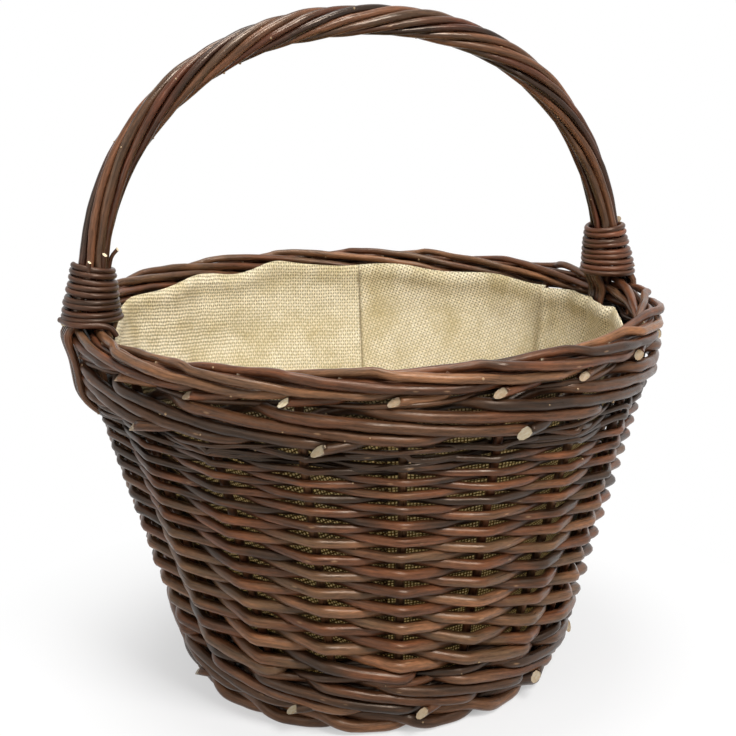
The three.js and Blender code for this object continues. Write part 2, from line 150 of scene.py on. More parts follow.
def bark(name, shades, gloss, painted_hollow_shade=1.0, gleam=0.36):
    """Unpeeled bark: a shade for each rod, streaks and specks, painted shade in the wall's recesses and cream
    where cut.
    """
    material = bpy.data.materials.new(name)
    material.use_nodes = True
    tree = material.node_tree
    skin = tree.nodes["Principled BSDF"]
    place, tone, cut, bud = (
        add_node(tree, "ShaderNodeAttribute", attribute_name=attribute).outputs
        for attribute in ("bark_place", "tone", "cut", "bud")
    )
    along = place["Vector"]
    patch = noise_at(tree, along, (60, 60, 16), 3)
    streak = noise_at(tree, along, (520, 520, 45), 4)
    grain = noise_at(tree, along, (1800, 1800, 260), 3)
    shade = math_node(tree, "ADD", tone["Fac"], map_range(tree, patch, 0.3, 0.7, -0.3, 0.3))
    colour = colour_ramp(tree, shade, shades)
    colour = multiplied(tree, colour, map_range(tree, streak, 0.28, 0.72, 0.45, 1.5))
    colour = multiplied(tree, colour, map_range(tree, grain, 0.3, 0.7, 0.66, 1.2))
    # Painted shade: bark that lies behind the middle of the wall is darkened in its colour, where little
    # light gets.
    if painted_hollow_shade < 1:
        colour = multiplied(tree, colour, painted_wall_shade(tree, painted_hollow_shade))

    cells = node_result(tree, "ShaderNodeMapping", {"Vector": along, "Scale": (300, 300, 90)})
    specks = add_node(tree, "ShaderNodeTexVoronoi", {"Vector": cells, "Scale": 1}).outputs
    chosen = math_node(tree, "GREATER_THAN", specks["Color"], 0.8)
    speck = math_node(tree, "MULTIPLY", chosen, map_range(tree, specks["Distance"], 0.1, 0.22, 1, 0))
    colour = mix_colour(tree, math_node(tree, "MULTIPLY", speck, 0.35), colour, linear(SPECK_SHADE))
    colour = mix_colour(tree, math_node(tree, "MULTIPLY", bud["Fac"], 0.5), colour, linear(BUD_SHADE))
    wood = noise_at(tree, along, (900, 900, 20), 2)
    colour = mix_colour(tree, cut["Fac"], colour, colour_ramp(tree, wood, CUT_SHADES))
    tree.links.new(colour, skin.inputs["Base Color"])
    skin.inputs["Specular IOR Level"].default_value = gleam
    skin.inputs["Specular Tint"].default_value = WARM_GLEAM

    shine = map_range(tree, streak, 0.25, 0.75, gloss - 0.1, gloss + 0.14)
    dull_cut = math_node(tree, "MULTIPLY", cut["Fac"], 0.3)
    tree.links.new(math_node(tree, "ADD", shine, dull_cut), skin.inputs["Roughness"])
    relief = math_node(tree, "ADD", streak, math_node(tree, "MULTIPLY", grain, 0.5))
    relief = math_node(tree, "ADD", relief, math_node(tree, "MULTIPLY", speck, 0.6))
    raised = {"Height": relief, "Strength": 0.4, "Distance": BARK_RELIEF * MM}
    tree.links.new(node_result(tree, "ShaderNodeBump", raised), skin.inputs["Normal"])
    return material


def capture(tree, geometry, items):
    """Keeps values of a path or a profile, so that the mesh swept from it can use them."""
    node = add_node(tree, "GeometryNodeCaptureAttribute", {"Geometry": geometry})
    for kind, name, value in items:
        node.capture_items.new(kind, name)
        tree.links.new(value, node.inputs[name])
    return node.outputs


def stored(tree, geometry, name, value, kind, domain):
    """Writes a value on the mesh, where its bark reads it."""
    inputs = {"Geometry": geometry, "Name": name, "Value": value}
    return node_result(tree, "GeometryNodeStoreNamedAttribute", inputs, data_type=kind, domain=domain)


def willow_rod_tree():
    """Sweeps a round, slightly uneven rod along each path, slants its cut end and sets buds on its bark."""
    tree = bpy.data.node_groups.new("willow_rod", "GeometryNodeTree")
    sockets = [
        ("Path", "NodeSocketGeometry"),
        ("Step", "NodeSocketFloat"),
        ("Sides", "NodeSocketInt"),
        ("Wander", "NodeSocketFloat"),
        ("Swell", "NodeSocketFloat"),
        ("Buds", "NodeSocketFloat"),
        ("Seed", "NodeSocketInt"),
        ("Bark", "NodeSocketMaterial"),
    ]
    for name, kind in sockets:
        tree.interface.new_socket(name, in_out="INPUT", socket_type=kind)
    tree.interface.new_socket("Rod", in_out="OUTPUT", socket_type="NodeSocketGeometry")
    given = tree.nodes.new("NodeGroupInput").outputs

    curve = node_result(tree, "GeometryNodeMeshToCurve", {"Mesh": given["Path"]})
    curve = node_result(tree, "GeometryNodeCurveSplineType", {"Curve": curve}, spline_type="CATMULL_ROM")
    curve = node_result(tree, "GeometryNodeSetSplineResolution", {"Geometry": curve, "Resolution": 8})
    even_steps = {"Curve": curve, "Length": given["Step"]}
    curve = node_result(tree, "GeometryNodeResampleCurve", even_steps, mode="LENGTH")

    position = node_result(tree, "GeometryNodeInputPosition")
    bends = {"Vector": position, "W": given["Seed"], "Scale": 28, "Detail": 1}
    drift = add_node(tree, "ShaderNodeTexNoise", bends, noise_dimensions="4D").outputs["Color"]
    centred = vector_math(tree, "SUBTRACT", drift, (0.5, 0.5, 0.5))
    offset = vector_math(tree, "SCALE", centred, scale=given["Wander"])
    curve = node_result(tree, "GeometryNodeSetPosition", {"Geometry": curve, "Offset": offset})

    thickness, start, cut_face = (
        add_node(tree, "GeometryNodeInputNamedAttribute", {"Name": name}, data_type=kind).outputs["Attribute"]
        for name, kind in (("thickness", "FLOAT"), ("start", "FLOAT"), ("cut_face", "FLOAT_VECTOR"))
    )
    length = add_node(tree, "GeometryNodeSplineParameter").outputs["Length"]
    along = math_node(tree, "ADD", start, length)
    knots = {"W": along, "Scale": 45, "Detail": 2}
    uneven = add_node(tree, "ShaderNodeTexNoise", knots, noise_dimensions="1D").outputs["Fac"]
    swell = math_node(tree, "MULTIPLY", math_node(tree, "SUBTRACT", uneven, 0.5), given["Swell"])
    radius = math_node(tree, "MULTIPLY_ADD", thickness, swell, thickness)
    held = capture(tree, curve, [
        ("FLOAT", "Along", along),
        ("FLOAT", "Radius", radius),
        ("VECTOR", "Middle", position),
        ("VECTOR", "Tangent", node_result(tree, "GeometryNodeInputTangent")),
        ("VECTOR", "Cut", cut_face),
        ("BOOLEAN", "End", node_result(tree, "GeometryNodeCurveEndpointSelection", {"Start Size": 0})),
    ])

    round_shape = {"Resolution": given["Sides"], "Radius": 1}
    circle = node_result(tree, "GeometryNodeCurvePrimitiveCircle", round_shape)
    profile = capture(tree, circle, [("VECTOR", "Round", position)])
    swept = node_result(tree, "GeometryNodeCurveToMesh", {
        "Curve": held["Geometry"], "Profile Curve": profile["Geometry"], "Scale": held["Radius"],
        "Fill Caps": True})
    across = vector_math(tree, "SCALE", profile["Round"], scale=held["Radius"])
    lengthwise = node_result(tree, "ShaderNodeCombineXYZ", {"Z": held["Along"]})
    place = vector_math(tree, "ADD", across, lengthwise)
    swept = stored(tree, swept, "bark_place", place, "FLOAT_VECTOR", "POINT")

    spoke = vector_math(tree, "SUBTRACT", position, held["Middle"])
    lean = vector_math(tree, "DOT_PRODUCT", spoke, held["Cut"])
    shift = vector_math(tree, "SCALE", held["Tangent"], scale=math_node(tree, "MULTIPLY", lean, -1.0))
    slanted = {"Geometry": swept, "Selection": held["End"], "Offset": shift}
    swept = node_result(tree, "GeometryNodeSetPosition", slanted)
    corners = add_node(tree, "GeometryNodeInputMeshFaceNeighbors").outputs["Vertex Count"]
    many_sided = {2: corners, 3: 4}
    is_cut = node_result(tree, "FunctionNodeCompare", many_sided, data_type="INT", operation="GREATER_THAN")
    swept = stored(tree, swept, "cut", is_cut, "FLOAT", "FACE")
    is_round = node_result(tree, "FunctionNodeBooleanMath", {0: is_cut}, operation="NOT")
    swept = node_result(tree, "GeometryNodeSetShadeSmooth", {"Geometry": swept, "Shade Smooth": is_round})

    spread = {"Mesh": swept, "Selection": is_round, "Density": given["Buds"], "Seed": given["Seed"]}
    spots = add_node(tree, "GeometryNodeDistributePointsOnFaces", spread).outputs
    bud = node_result(tree, "GeometryNodeMeshIcoSphere", {"Radius": BUD_R * MM, "Subdivisions": 1})
    bud = stored(tree, bud, "bud", 1.0, "FLOAT", "POINT")
    sizes = {2: 0.5, 3: 1.0, "Seed": given["Seed"]}
    size = add_node(tree, "FunctionNodeRandomValue", sizes, data_type="FLOAT").outputs[1]
    buds = node_result(tree, "GeometryNodeInstanceOnPoints", {
        "Points": spots["Points"], "Instance": bud, "Rotation": spots["Rotation"], "Scale": size})
    whole = tree.nodes.new("GeometryNodeJoinGeometry")
    for part in (buds, swept):
        tree.links.new(part, whole.inputs[0])
    whole = node_result(tree, "GeometryNodeRealizeInstances", {"Geometry": whole.outputs[0]})
    whole = node_result(tree, "GeometryNodeSetMaterial", {"Geometry": whole, "Material": given["Bark"]})
    add_node(tree, "NodeGroupOutput", {0: whole})
    return tree


def plain_mesh(piece):
    """The piece with its modifiers worked into a plain mesh."""
    bpy.context.view_layer.update()
    made = bpy.data.meshes.new_from_object(piece.evaluated_get(bpy.context.evaluated_depsgraph_get()))
    piece.modifiers.clear()
    piece.data = made


def willow(name, rods, skin, node, step=3.0, sides=10, wander=0.8, swell=0.25, buds=250):
    """A piece of one or more willow rods in place of a CAD node, riding on the basket."""
    mesh = bpy.data.meshes.new(name)
    edges = []
    first = 0
    for each in rods:
        count = len(each.points)
        edges += [(first + i, first + i + 1) for i in range(count - 1)]
        if each.closed:
            edges.append((first + count - 1, first))
        first += count
    mesh.from_pydata(np.concatenate([each.points for each in rods]) * MM, edges, [])
    values = [
        ("thickness", "FLOAT", "value", [each.radius * MM for each in rods]),
        ("tone", "FLOAT", "value", [each.tone for each in rods]),
        ("start", "FLOAT", "value", [np.full(len(each.points), each.start) for each in rods]),
        ("cut_face", "FLOAT_VECTOR", "vector", [np.tile(each.cut, len(each.points)) for each in rods]),
    ]
    for attribute, kind, field, parts in values:
        data = mesh.attributes.new(attribute, kind, "POINT").data
        data.foreach_set(field, np.concatenate(parts).astype(np.float32))
    piece = bpy.data.objects.new(name, mesh)
    bpy.context.scene.collection.objects.link(piece)
    sweep = piece.modifiers.new("sweep", "NODES")
    sweep.node_group = rod_tree
    settings = {
        "Step": step * MM,
        "Sides": sides,
        "Wander": wander * MM / NOISE_REACH,
        "Swell": swell,
        "Buds": float(buds),
        "Seed": int(chance.integers(1000)),
        "Bark": skin,
    }
    for item in rod_tree.interface.items_tree:
        if item.name in settings:
            sweep[item.identifier] = settings[item.name]
    plain_mesh(piece)
    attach(piece, "root")
    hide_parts(node)


rod_tree = willow_rod_tree()
base_bark = bark("base_bark", BASE_SHADES, 0.5)
spoke_turn = STAKE_PHASE + STAKE_STEP / 2


def turned(x, y, z):
    """A point of the base, turned so that each stick's end lies between two stakes."""
    return polar(math.hypot(x, y), math.atan2(y, x) + spoke_turn, z)


def half_stick(crossing, angle):
    """Half a stick: straight through the crossing, then bent out to its place at the edge of the base."""
    end = polar(STICK_REACH, angle, STICK_LEVEL)
    return crossing + [0.5 * (end + crossing[-1]), end]


sticks = []
for i in (-1, 0, 1):
    half = half_stick([(x, i * STICK_SPACING, STICK_LEVEL) for x in UNDER_CROSSING], i * 2 * STAKE_STEP)
    sticks.append([turned(-x, y, z) for x, y, z in reversed(half[1:])] + [turned(*point) for point in half])
for side in (-0.5, 0.5):
    crossing = [(side * STICK_SPACING, y, z) for y, z in OVER_CROSSING]
    half = half_stick(crossing, math.pi / 2 - side * 2 * STAKE_STEP)
    sticks.append([turned(x, -y, z) for x, y, z in reversed(half[1:])] + [turned(*point) for point in half])
for number, points in enumerate(sticks, 1):
    name = f"base_stick_{number}"
    willow(f"{name}_rod", [rod(points, STICK_R)], base_bark, name)


# Base weave: two thinner rods paired round the sticks from the middle outwards, over one stick and under
# the next. Past the stakes' tails they stay on top of the sticks.
WEAVER_R = 1.75
WEAVER_TONES = (0.45, 0.65)
WEAVE_START = 30
WEAVE_END = 112
WEAVE_PITCH = 7.5
WEAVE_LEVEL = 26.4
WEAVE_DIP = 1.2
TAILS_REACH = 91
WEAVE_STEPS = 60


def base_weaver(which):
    """One of the pair: the second is half a wave and half a row behind the first."""
    turns = (WEAVE_END - WEAVE_START) / WEAVE_PITCH
    under = STICK_LEVEL - STICK_R - WEAVER_R
    points = []
    for i in range(int(turns * WEAVE_STEPS)):
        angle = 2 * math.pi * i / WEAVE_STEPS
        radius = WEAVE_START + WEAVE_PITCH * (angle + which * math.pi) / (2 * math.pi)
        over = math.cos(len(sticks) * angle + which * math.pi)
        low = WEAVE_LEVEL - WEAVE_DIP if radius > TAILS_REACH else under
        z = (WEAVE_LEVEL + low) / 2 + (WEAVE_LEVEL - low) / 2 * over
        points.append(polar(radius, angle + spoke_turn, z))
    return rod(points, WEAVER_R, WEAVER_TONES[which])


willow("base_weave_rods", [base_weaver(0), base_weaver(1)], base_bark, "base_weave",
       step=4, sides=8, wander=0.5, buds=50)


# Stakes: twenty rods that lie under the base, turn up through the wall and are laid down in turn as the
# border: out in front of two stakes, over the top, down inside, and out again. The last end is cut slanting.
# A thin rod laid along inside each closes the holes of the border.
BODY_HEIGHT = 258
FLOOR_RADIUS = 117.5
SHOULDER = 212
SHOULDER_RADIUS = 182
RIM_RADIUS = 190
STAKE_R = 2.9
STAKE_TIP_R = 2.6
BASE_LEVEL = 18.7
TURN_UP = [(-30, 0), (-20, 0), (-10, 0), (-2.6, 0.7), (0, 6)]
UPRIGHT_FROM = 26
UPRIGHT_SHORT = 16
UPRIGHT_POINTS = 8
BORDER_R = 2.8
BORDER_BEND = 248.3
BORDER_SPACING = 6.2
BORDER_STRAY = 0.1
BORDER_LAY = [
    (0, 0, -1.1),
    (0.25, 0.5, -0.92),
    (0.5, 1, -0.78),
    (1, 1.2, -0.28),
    (1.5, 1.2, 0.28),
    (2, 0.95, 0.84),
    (2.13, 0.6, 1.06),
    (2.28, 0.05, 1.12),
    (2.5, -0.4, 1.04),
    (3, -1, 0.69),
    (3.5, -1.1, 0.18),
    (4, -1.1, -0.32),
    (4.5, -0.6, -1),
    (4.65, 0.2, -1.38),
    (5.1, 1.25, -1.47),
]
FILLING_LAY = [(0.5, 0.35, 242.5), (1.2, 0.1, 244.5), (2, 0.1, 247.5), (2.8, 0, 250.5), (3.6, -0.25, 252)]
FILLING_R = [2, 2.4, 2.4, 2.4, 1.8]
FILLING_TONE = 0.35
CUT_LEAN = 0.9
CUT_RISE = 1.2
TALL_SIDE = 7
TALL_AT = math.radians(125)
TALL_EASE = 1.3
TALL_FROM = 120
TALL_OVER = 130
PAINTED_SHADE_DEPTH = 5
BORDER_UNSHADED = (232, 246)
STAKE_SHADES = [(0.0, (48, 29, 18)), (0.3, (96, 56, 34)), (0.6, (87, 62, 43)), (1.0, (126, 85, 56))]


def painted_wall_shade(tree, painted_hollow_shade):
    """Painted shade on bark behind the middle of the wall, where little light gets, but not on the border."""
    spot = add_node(tree, "ShaderNodeTexCoord").outputs["Object"]
    z = add_node(tree, "ShaderNodeSeparateXYZ", {0: spot}).outputs["Z"]
    reach = vector_math(tree, "LENGTH", vector_math(tree, "MULTIPLY", spot, (1, 1, 0)))
    wall = map_range(tree, z, 0, SHOULDER * MM, FLOOR_RADIUS * MM, SHOULDER_RADIUS * MM)
    out = math_node(tree, "SUBTRACT", reach, wall)
    # Painted shade, darkest where the bark lies furthest behind the wall's middle; the border above is left
    # unshaded.
    painted_shade = map_range(tree, out, -PAINTED_SHADE_DEPTH * MM, PAINTED_SHADE_DEPTH * MM, painted_hollow_shade, 1)
    border = map_range(tree, z, BORDER_UNSHADED[0] * MM, BORDER_UNSHADED[1] * MM, 0, 1)
    return math_node(tree, "MAXIMUM", painted_shade, border)


def stake_circle(z):
    """Radius of the circle of stakes: a cone up to the shoulder, then nearly upright."""
    return np.interp(z, [0, SHOULDER, BODY_HEIGHT], [FLOOR_RADIUS, SHOULDER_RADIUS, RIM_RADIUS])


def stake_angle(stake):
    """Stakes count clockwise as seen from above, the way the weave is worked."""
    return STAKE_PHASE - stake * STAKE_STEP


def on_wall(stake, out, z):
    """A point of the wall, which stands a little taller on one side, as it came from the maker's hand."""
    angle = stake_angle(stake)
    tall = TALL_SIDE * max(0, math.cos(angle - TALL_AT)) ** TALL_EASE
    return polar(stake_circle(z) + out, angle, z + tall * np.clip((z - TALL_FROM) / TALL_OVER, 0, 1))


def slanting_cut(stake):
    return polar(CUT_LEAN, stake_angle(stake), CUT_RISE)


def stake_rod(stake):
    points = [on_wall(stake, out, BASE_LEVEL + up) for out, up in TURN_UP]
    upright = np.linspace(BASE_LEVEL + UPRIGHT_FROM, BORDER_BEND - UPRIGHT_SHORT, UPRIGHT_POINTS)
    points += [on_wall(stake, 0, z) for z in upright]
    radii = [STAKE_R] * len(points)
    end = BORDER_LAY[-1][0]
    girth = chance.uniform(0.88, 1.1)
    for along, out, up in BORDER_LAY:
        stray_out, stray_up = chance.uniform(-BORDER_STRAY, BORDER_STRAY, 2)
        height = BORDER_BEND + (up + stray_up) * BORDER_SPACING
        points.append(on_wall(stake + along, (out + stray_out) * BORDER_SPACING, height))
        taper = np.interp(along, [0, 1, end - 1, end], [STAKE_R, BORDER_R, BORDER_R, STAKE_TIP_R])
        radii.append(girth * taper)
    return rod(points, radii, cut=slanting_cut(stake + end))


def border_filling(stake):
    """A thin rod laid inside the border, rising with the others, which closes the holes between them."""
    points = [on_wall(stake + along, out * BORDER_SPACING, z) for along, out, z in FILLING_LAY]
    return rod(points, FILLING_R, chance.uniform(0, FILLING_TONE))


stake_bark = bark("stake_bark", STAKE_SHADES, 0.32, 0.2)
for stake in range(STAKES):
    name = f"stake_{stake + 1:02d}"
    rods = [stake_rod(stake), border_filling(stake)]
    willow(f"{name}_rod", rods, stake_bark, name, step=2.5)


# Upsett wale: four stout rods twined just above the foot, each behind one stake and in front of the next
# three, which hold the stakes upright. Their butts are cut outside, and thinner rods packed above and
# behind them close the wall.
WALE_RODS = 4
WALE_LAY = [(0, -1, 0), (0.5, -0.5, -1.25), (1, 1, -1), (2, 1, 0), (3, 1, 1), (3.5, -0.5, 1.25)]
UPSETT_R = 3.7
UPSETT_MID = 29.8
CLEARANCE = 0.4
WALL_LEAN = 1.045
CROSSING_SLANT = 1.09
BUTT_LAY = [(-0.6, -17, 4), (-0.3, -6, 2), (0, 0, 0)]
UPSETT_BUTT_R = 2.8
UPSETT_BUTT_OUT = 14
PACKING_R = 2.8
PACKING_BEHIND = -0.75
PACKING_DIP = 3.5
BACKING_R = 3
BACKING_TONE = 0.2
BACKING_PRESSED = 3.7
BACKING_DIP = 3
WALE_SHADES = [(0.0, (40, 25, 15)), (0.4, (80, 52, 33)), (0.7, (86, 50, 30)), (1.0, (112, 79, 55))]


def stand_off(radius):
    """How far the middle of a rod stands off the middle of the stakes that it passes."""
    return (STAKE_R + radius + CLEARANCE) * WALL_LEAN * CROSSING_SLANT


def wale_rod(first, radius, mid):
    points = []
    for stake in range(first, first + STAKES, WALE_RODS):
        for along, out, up in WALE_LAY:
            height = mid + up * (2 * radius + CLEARANCE)
            points.append(on_wall(stake + along, out * stand_off(radius), height))
    return rod(points, radius, closed=True)


def butt(stake, out, z, radius):
    """The thick end of a rod that comes out between two stakes and is cut slanting."""
    points = [on_wall(stake + along, out + inset, z + up) for along, inset, up in BUTT_LAY]
    return rod(points, radius, cut=slanting_cut(stake))


def butts(first, out, z, radius):
    """A butt at every fourth stake, where a new rod takes over from the last."""
    return [butt(stake, out, z, radius) for stake in np.arange(first, STAKES, WALE_RODS)]


def packing_rod(first, z):
    """A thinner rod beaten down on the upsett, in front of every other stake."""
    points = []
    for stake in range(STAKES):
        in_front = (stake + first) % 2
        side = 1 if in_front else PACKING_BEHIND
        height = z if in_front else z - PACKING_DIP
        points.append(on_wall(stake, side * stand_off(PACKING_R), height))
    return rod(points, PACKING_R, closed=True)


def backing_rod(out, z):
    """A rod laid behind the stakes and pressed out between them, which closes the wall above the base."""
    points = []
    for stake in range(STAKES):
        points += [on_wall(stake, out, z), on_wall(stake + 0.5, out + BACKING_PRESSED, z - BACKING_DIP)]
    return rod(points, BACKING_R, BACKING_TONE, closed=True)


upsett_extras = [
    [packing_rod(0, 45.5)],
    butts(1.68, UPSETT_BUTT_OUT, 20, UPSETT_BUTT_R),
    [backing_rod(-6.2, 35.5), backing_rod(-9.5, 29.5)],
    butts(3.6, UPSETT_BUTT_OUT, 21, UPSETT_BUTT_R) + [packing_rod(1, 42)],
]
wale_bark = bark("wale_bark", WALE_SHADES, 0.32, 0.15)
for i in range(WALE_RODS):
    name = f"upsett_wale_{i + 1}"
    rods = [wale_rod(i, UPSETT_R, UPSETT_MID)] + upsett_extras[i]
    willow(f"{name}_rod", rods, wale_bark, name)


# Rand: slanting rods, in front of one stake and behind the next, a row higher at every stake. Each is
# doubled round a stake above the upsett wale, and both halves run up to thin tips under the top wale.
RAND_RODS = 10
ROWS = 29
BUTT_R = 3.7
TIP_R = 1.6
RAND_BOTTOM = 43.7
RAND_TOP = 210
RAND_FULLNESS = 1.15
KINK = [(-0.08, 0.88), (0, 1), (0.08, 0.88), (0.5, 0)]
DOUBLING = [(0.5, -0.95), (0, -0.97), (-0.13, -0.7), (-0.18, 0), (-0.13, 0.7), (0, 0.97), (0.5, 0.97)]
DOUBLING_ROW = 0.45
TIPS_FROM = 23
LOOSE_ROWS = 4
LOOSE_STRAY = 0.5
TONE_BY_ROW = ([0, 15, ROWS], [1, 0.85, -0.2])
RAND_SHADES = [(0.0, (48, 31, 19)), (0.3, (102, 60, 36)), (0.6, (90, 66, 45)), (1.0, (134, 88, 58))]


def row_radius(row):
    return BUTT_R + (TIP_R - BUTT_R) * row / ROWS


def row_height(row):
    """Rows close up as the rods get thinner."""
    def stacked(count):
        return 2 * BUTT_R * count + (TIP_R - BUTT_R) * count**2 / ROWS + CLEARANCE * count
    return RAND_BOTTOM + (RAND_TOP - RAND_BOTTOM) * stacked(row) / stacked(ROWS)


def rand_half(first, start):
    """Places along one half of a rod, from the bottom up: stake, share of the stand-off, and row."""
    places = []
    for step in range(start, ROWS):
        side = 1 if step % 2 else -1
        places += [(first + step + along, side * share, 0.5 + step + along) for along, share in KINK]
    return places[:-1]


def rand_rod(number):
    stake = 2 * number
    places = rand_half(stake + 1, 0)[1:][::-1]
    places += [(stake + along, share, DOUBLING_ROW + max(along, 0)) for along, share in DOUBLING]
    places += rand_half(stake, 1)[1:]
    rows = np.array([row for at, share, row in places])
    loose = np.clip(rows - TIPS_FROM, 0, LOOSE_ROWS) * chance.uniform(-LOOSE_STRAY, LOOSE_STRAY, len(rows))
    points = [
        on_wall(at, share * stand_off(row_radius(row)), row_height(row) + stray)
        for (at, share, row), stray in zip(places, loose)
    ]
    halves = np.where(np.arange(len(rows)) < len(rows) / 2, chance.uniform(0, 1), chance.uniform(0, 1))
    return rod(points, row_radius(rows) * RAND_FULLNESS, halves * np.interp(rows, *TONE_BY_ROW))


rand_bark = bark("rand_bark", RAND_SHADES, 0.32, 0.2)
for i in range(RAND_RODS):
    name = f"rand_rod_{i + 1:02d}"
    willow(f"{name}_rod", [rand_rod(i)], rand_bark, name, step=4, buds=150)


# Top wale: four rods twined under the border as the upsett is, which close the weave. Their butts are cut
# outside, and thin dark tips fill the wall above and below them.
TOP_WALE_R = 3.6
TOP_WALE_MID = 223.5
TOP_BUTT_R = 3.1
TOP_BUTT_OUT = 13
TIP_TONE = 0.25
TIP_BETWEEN = 0.2
TIP_WAVE = 1.9
TIP_STRAY = 0.4


def tip_rod(z, radius, stray):
    """A thin tip that wanders in and out round the wall."""
    points = []
    for place in np.arange(0, STAKES, 0.5):
        side = math.cos(math.pi * place) if place % 1 == 0 else TIP_BETWEEN
        height = z + stray * math.sin(place * TIP_WAVE + z) + chance.uniform(-TIP_STRAY, TIP_STRAY) * stray
        points.append(on_wall(place, side * stand_off(radius), height))
    return rod(points, radius, chance.uniform(0, TIP_TONE), closed=True)


top_wale_extras = [
    [tip_rod(236.4, 1.8, 0.5)],
    butts(6.8, TOP_BUTT_OUT, 212.5, TOP_BUTT_R) + [tip_rod(200, 1.5, 3)],
    [tip_rod(208, 1.6, 1.5)],
    butts(4.85, TOP_BUTT_OUT, 213.5, TOP_BUTT_R) + [tip_rod(204, 1.5, 2.5)],
]
for i in range(WALE_RODS):
    name = f"top_wale_{i + 1}"
    rods = [wale_rod(i, TOP_WALE_R, TOP_WALE_MID)] + top_wale_extras[i]
    willow(f"{name}_rod", rods, wale_bark, name, buds=600)


# Foot: two stout rods in their bark, rolled round each other into a rope under the wall. The basket stands
# on it, and it covers the bends where the stakes turn up.
FOOT_STRANDS = 2
FOOT_R = 4.4
FOOT_MID = 7.3
FOOT_OUT = 1
FOOT_LEVEL = 9
FOOT_TWIST_R = 4.6
FOOT_TWIST_HEIGHT = 3.9
FOOT_TWISTS = 8
FOOT_TWIST_START = 1 / 16
FOOT_LAID_OVER = 0.35
FOOT_STEPS = 128
FOOT_SHADES = [(0.0, (50, 31, 20)), (0.5, (92, 60, 39)), (1.0, (118, 80, 54))]


def foot_rope(strand):
    points = []
    for i in range(FOOT_STEPS):
        twist = 2 * math.pi * (FOOT_TWISTS * i / FOOT_STEPS + FOOT_TWIST_START) + strand * math.pi
        twist -= FOOT_LAID_OVER * math.sin(2 * twist)
        radius = stake_circle(FOOT_MID) + FOOT_OUT + FOOT_TWIST_R * math.sin(twist)
        height = FOOT_LEVEL - FOOT_TWIST_HEIGHT * math.cos(twist)
        points.append(polar(radius, -2 * math.pi * i / FOOT_STEPS, height))
    return rod(points, FOOT_R, closed=True)


foot_bark = bark("foot_bark", FOOT_SHADES, 0.34)
for strand in range(FOOT_STRANDS):
    name = f"foot_rope_{strand + 1}"
    willow(f"{name}_rod", [foot_rope(strand)], foot_bark, name, wander=0.2)


# Handle bow: the one thick rod in the middle of the handle, bent into an arch. Its ends are pushed down into
# the border, and the strands hide the rest of it.
HANDLE_RISE = 183
HANDLE_REACH = 184
HANDLE_SQUARENESS = 2.2
BOW_R = 3.9
BOW_TONE = 0.3
BOW_POINTS = 40
LASHING_START = 3
HANDLE_SHADES = [(0.0, (36, 20, 13)), (0.35, (80, 42, 27)), (0.65, (68, 48, 33)), (1.0, (98, 62, 41))]


def arch(along):
    """The middle of the handle, from 0 at its left foot to pi at its right one."""
    power = 2 / HANDLE_SQUARENESS
    reach = -HANDLE_REACH * math.copysign(abs(math.cos(along)) ** power, math.cos(along))
    return np.array([reach, 0, BODY_HEIGHT + HANDLE_RISE * math.sin(along) ** power])


def arch_at(height):
    """Where along the left side of the arch it stands so high above the border."""
    return math.asin((height / HANDLE_RISE) ** (HANDLE_SQUARENESS / 2))


handle_bark = bark("handle_bark", HANDLE_SHADES, 0.24, gleam=0.45)
bow_start = arch_at(LASHING_START - CLEARANCE)
bow_points = [arch(along) for along in np.linspace(bow_start, math.pi - bow_start, BOW_POINTS)]
bow_end = np.array([HANDLE_REACH, 0, BORDER_BEND])
bow_points = [bow_end * [-1, 1, 1]] + bow_points + [bow_end]
bow = rod(bow_points, BOW_R, BOW_TONE)
willow("handle_bow_rod", [bow], handle_bark, "handle_bow", wander=0)


# Handle strands: eight rods wound round the bow from foot to foot. Below the lashings their thin ends run
# down astride the border, four outside it and four inside.
STRANDS = 8
STRAND_R = 2.75
STRAND_TURNS = 2
STRAND_STEPS = 72
TWIST_EASE = 0.6
BUNDLE_R = 7.1
BUNDLE_START = 41.3
LEG_R = 2.4
LEG_ROOM = 2
LEG_SPREAD = 8.13
LEG_HEIGHTS = (34, 26, 17, 9)
LEG_LIFT = 260.4
FOOT_SPREAD = 12
OUTER_LEG = 11.54
OUTER_TUCK = 206
OUTER_END = 198
BORDER_TOP = 253
BORDER_FOOT = 236
WALE_PRESS = 1.5
TUCK_PRESS = 2
INNER_LEG = 12.12
INNER_LEVELS = (250, 238, 226)


def beside_arch(along, radius, angle):
    """A point so far from the middle of the handle, at an angle round it."""
    nearby = 1e-4
    tangent = arch(along + nearby) - arch(along - nearby)
    tangent /= np.linalg.norm(tangent)
    outward = np.array([-tangent[2], 0, tangent[0]])
    return arch(along) + radius * (math.cos(angle) * outward + math.sin(angle) * np.array([0, 1, 0]))


def leg_past(radius):
    """How far a strand's end stands off the stakes where it passes a rod of the wall."""
    return stand_off(radius) + radius + CLEARANCE + LEG_ROOM


